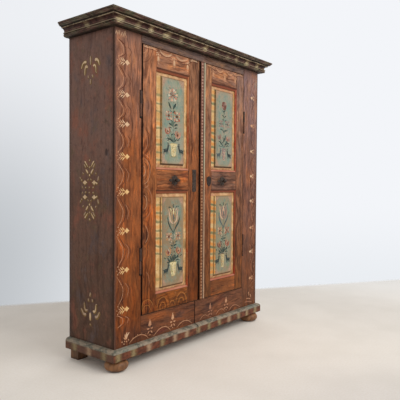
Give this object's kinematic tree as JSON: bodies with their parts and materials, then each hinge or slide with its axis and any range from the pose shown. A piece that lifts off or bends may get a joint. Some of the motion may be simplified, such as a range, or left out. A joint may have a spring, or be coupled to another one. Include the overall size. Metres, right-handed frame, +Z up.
{
  "type": "two-door painted cupboard",
  "caption": "Tall painted wooden cupboard with a moulded cornice, panelled double doors on barrel hinges, shelves, sliding bolts and bun feet.",
  "frame": {"origin": "on the floor, at the middle of the whole outline with its cornice", "axes": "+Z up, +X to the right of someone facing the doors, +Y towards the back"},
  "size_m": [1.5, 0.447, 1.85],
  "materials": {
    "front_paint": "worn grained paint, satin",
    "side_paint": "worn dark paint, satin",
    "cornice_paint": "dabbed paint, satin",
    "plinth_paint": "dabbed paint, satin",
    "panel_paint": "painted, matt",
    "astragal_paint": "painted, satin",
    "bare_wood": "bare aged pine",
    "foot_wood": "oiled, worn",
    "iron": "forged, dull"
  },
  "bodies": {
    "carcass": {"left_side_board": "side_paint", "right_side_board": "side_paint", "left_front_stile": "front_paint", "right_front_stile": "front_paint", "front_top_rail": "front_paint", "left_base_board": "front_paint", "right_base_board": "front_paint", "top_boards": "bare_wood", "back_boards": "bare_wood", "floor_boards": "bare_wood", "floor_bearers": "bare_wood", "lower_shelf": "bare_wood", "middle_shelf": "bare_wood", "upper_shelf": "bare_wood", "shelf_cleats": "bare_wood", "door_stop": "bare_wood", "cornice_front": "cornice_paint", "cornice_left": "cornice_paint", "cornice_right": "cornice_paint", "plinth_front_left": "plinth_paint", "plinth_front_right": "plinth_paint", "plinth_left": "plinth_paint", "plinth_right": "plinth_paint", "left_bun_foot": "foot_wood", "right_bun_foot": "foot_wood", "left_rear_foot": "foot_wood", "right_rear_foot": "foot_wood", "corner_blocks": "bare_wood", "frame_hinge_halves": "iron", "hinge_pins": "iron"},
    "left_door": {"left_hinge_stile": "front_paint", "left_meeting_stile": "front_paint", "left_top_rail": "front_paint", "left_lock_rail": "front_paint", "left_bottom_rail": "front_paint", "left_lower_panel": "panel_paint", "left_upper_panel": "panel_paint", "left_hinge_halves": "iron", "left_rosette": "iron", "left_iron_plate": "iron", "lock_keeper": "iron", "bolt_guides": "iron"},
    "right_door": {"right_meeting_stile": "front_paint", "right_hinge_stile": "front_paint", "right_top_rail": "front_paint", "right_lock_rail": "front_paint", "right_bottom_rail": "front_paint", "right_lower_panel": "panel_paint", "right_upper_panel": "panel_paint", "right_hinge_halves": "iron", "right_rosette": "iron", "key_escutcheon": "iron", "lock_case": "iron", "astragal": "astragal_paint"},
    "lock_bolt": {"lock_bolt": "iron"},
    "left_top_bolt": {"left_top_bolt": "iron"},
    "left_bottom_bolt": {"left_bottom_bolt": "iron"}
  },
  "joints": [
    {"name": "left_door_swing", "type": "hinge", "parent": "carcass", "child": "left_door", "pos_m": [-0.49, -0.1485, 1], "axis": [0, 0, -1], "range_deg": [0, 170]},
    {"name": "right_door_swing", "type": "hinge", "parent": "carcass", "child": "right_door", "pos_m": [0.504, -0.1485, 1], "axis": [0, 0, 1], "range_deg": [0, 170]},
    {"name": "lock_bolt_throw", "type": "slide", "parent": "right_door", "child": "lock_bolt", "axis": [-1, 0, 0], "range_m": [0, 0.026]},
    {"name": "top_bolt_slide", "type": "slide", "parent": "left_door", "child": "left_top_bolt", "axis": [0, 0, 1], "range_m": [0, 0.024]},
    {"name": "bottom_bolt_slide", "type": "slide", "parent": "left_door", "child": "left_bottom_bolt", "axis": [0, 0, -1], "range_m": [0, 0.022]}
  ]
}
